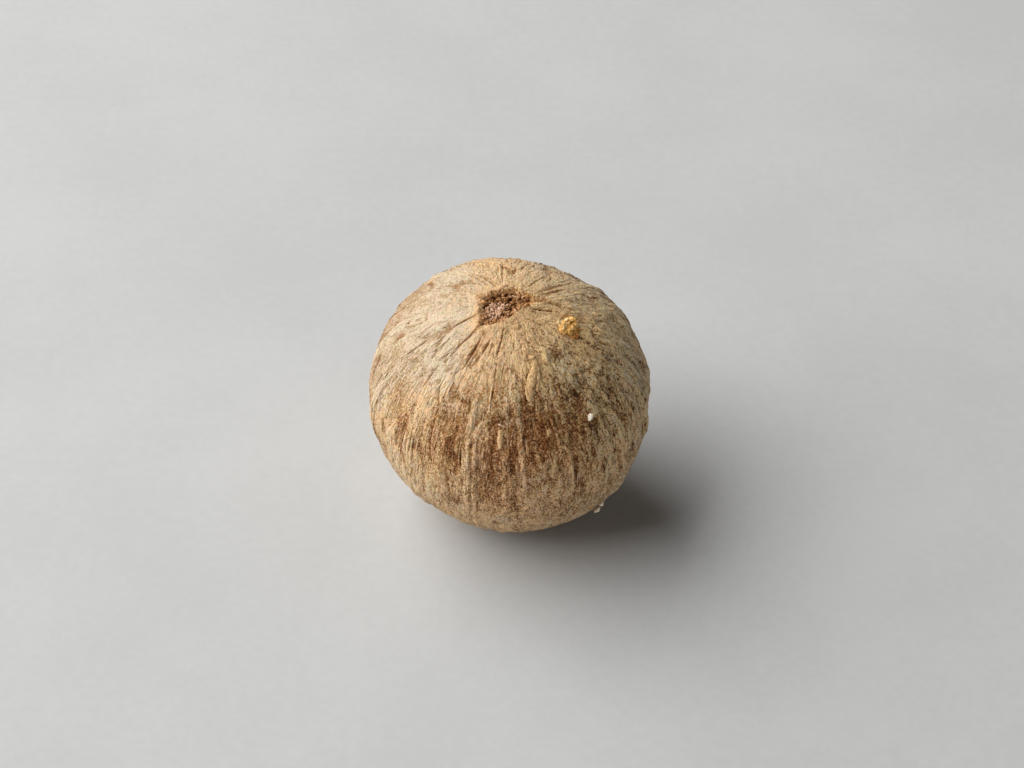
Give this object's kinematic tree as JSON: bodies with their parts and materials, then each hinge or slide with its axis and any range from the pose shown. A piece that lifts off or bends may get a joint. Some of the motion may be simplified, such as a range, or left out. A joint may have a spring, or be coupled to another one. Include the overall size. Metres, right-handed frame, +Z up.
{
  "type": "white peppercorn",
  "caption": "Single whole white peppercorn, a dried ribbed seed with a dark scar at its apex, for seasoning and grinding.",
  "frame": {"origin": "middle of the small flat spot that the peppercorn rests on, under the middle of its outline", "axes": "+Z up, close to the seed's own axis, whose scarred apex leans 11 degrees towards -Y, the side that the camera looks from"},
  "size_m": [0.005, 0.005, 0.0048],
  "materials": {
    "pepper_skin": "dry, matte and finely fibrous, tan with brown patches and a dark brown scar"
  },
  "bodies": {
    "root": {"peppercorn": "pepper_skin"}
  },
  "joints": []
}
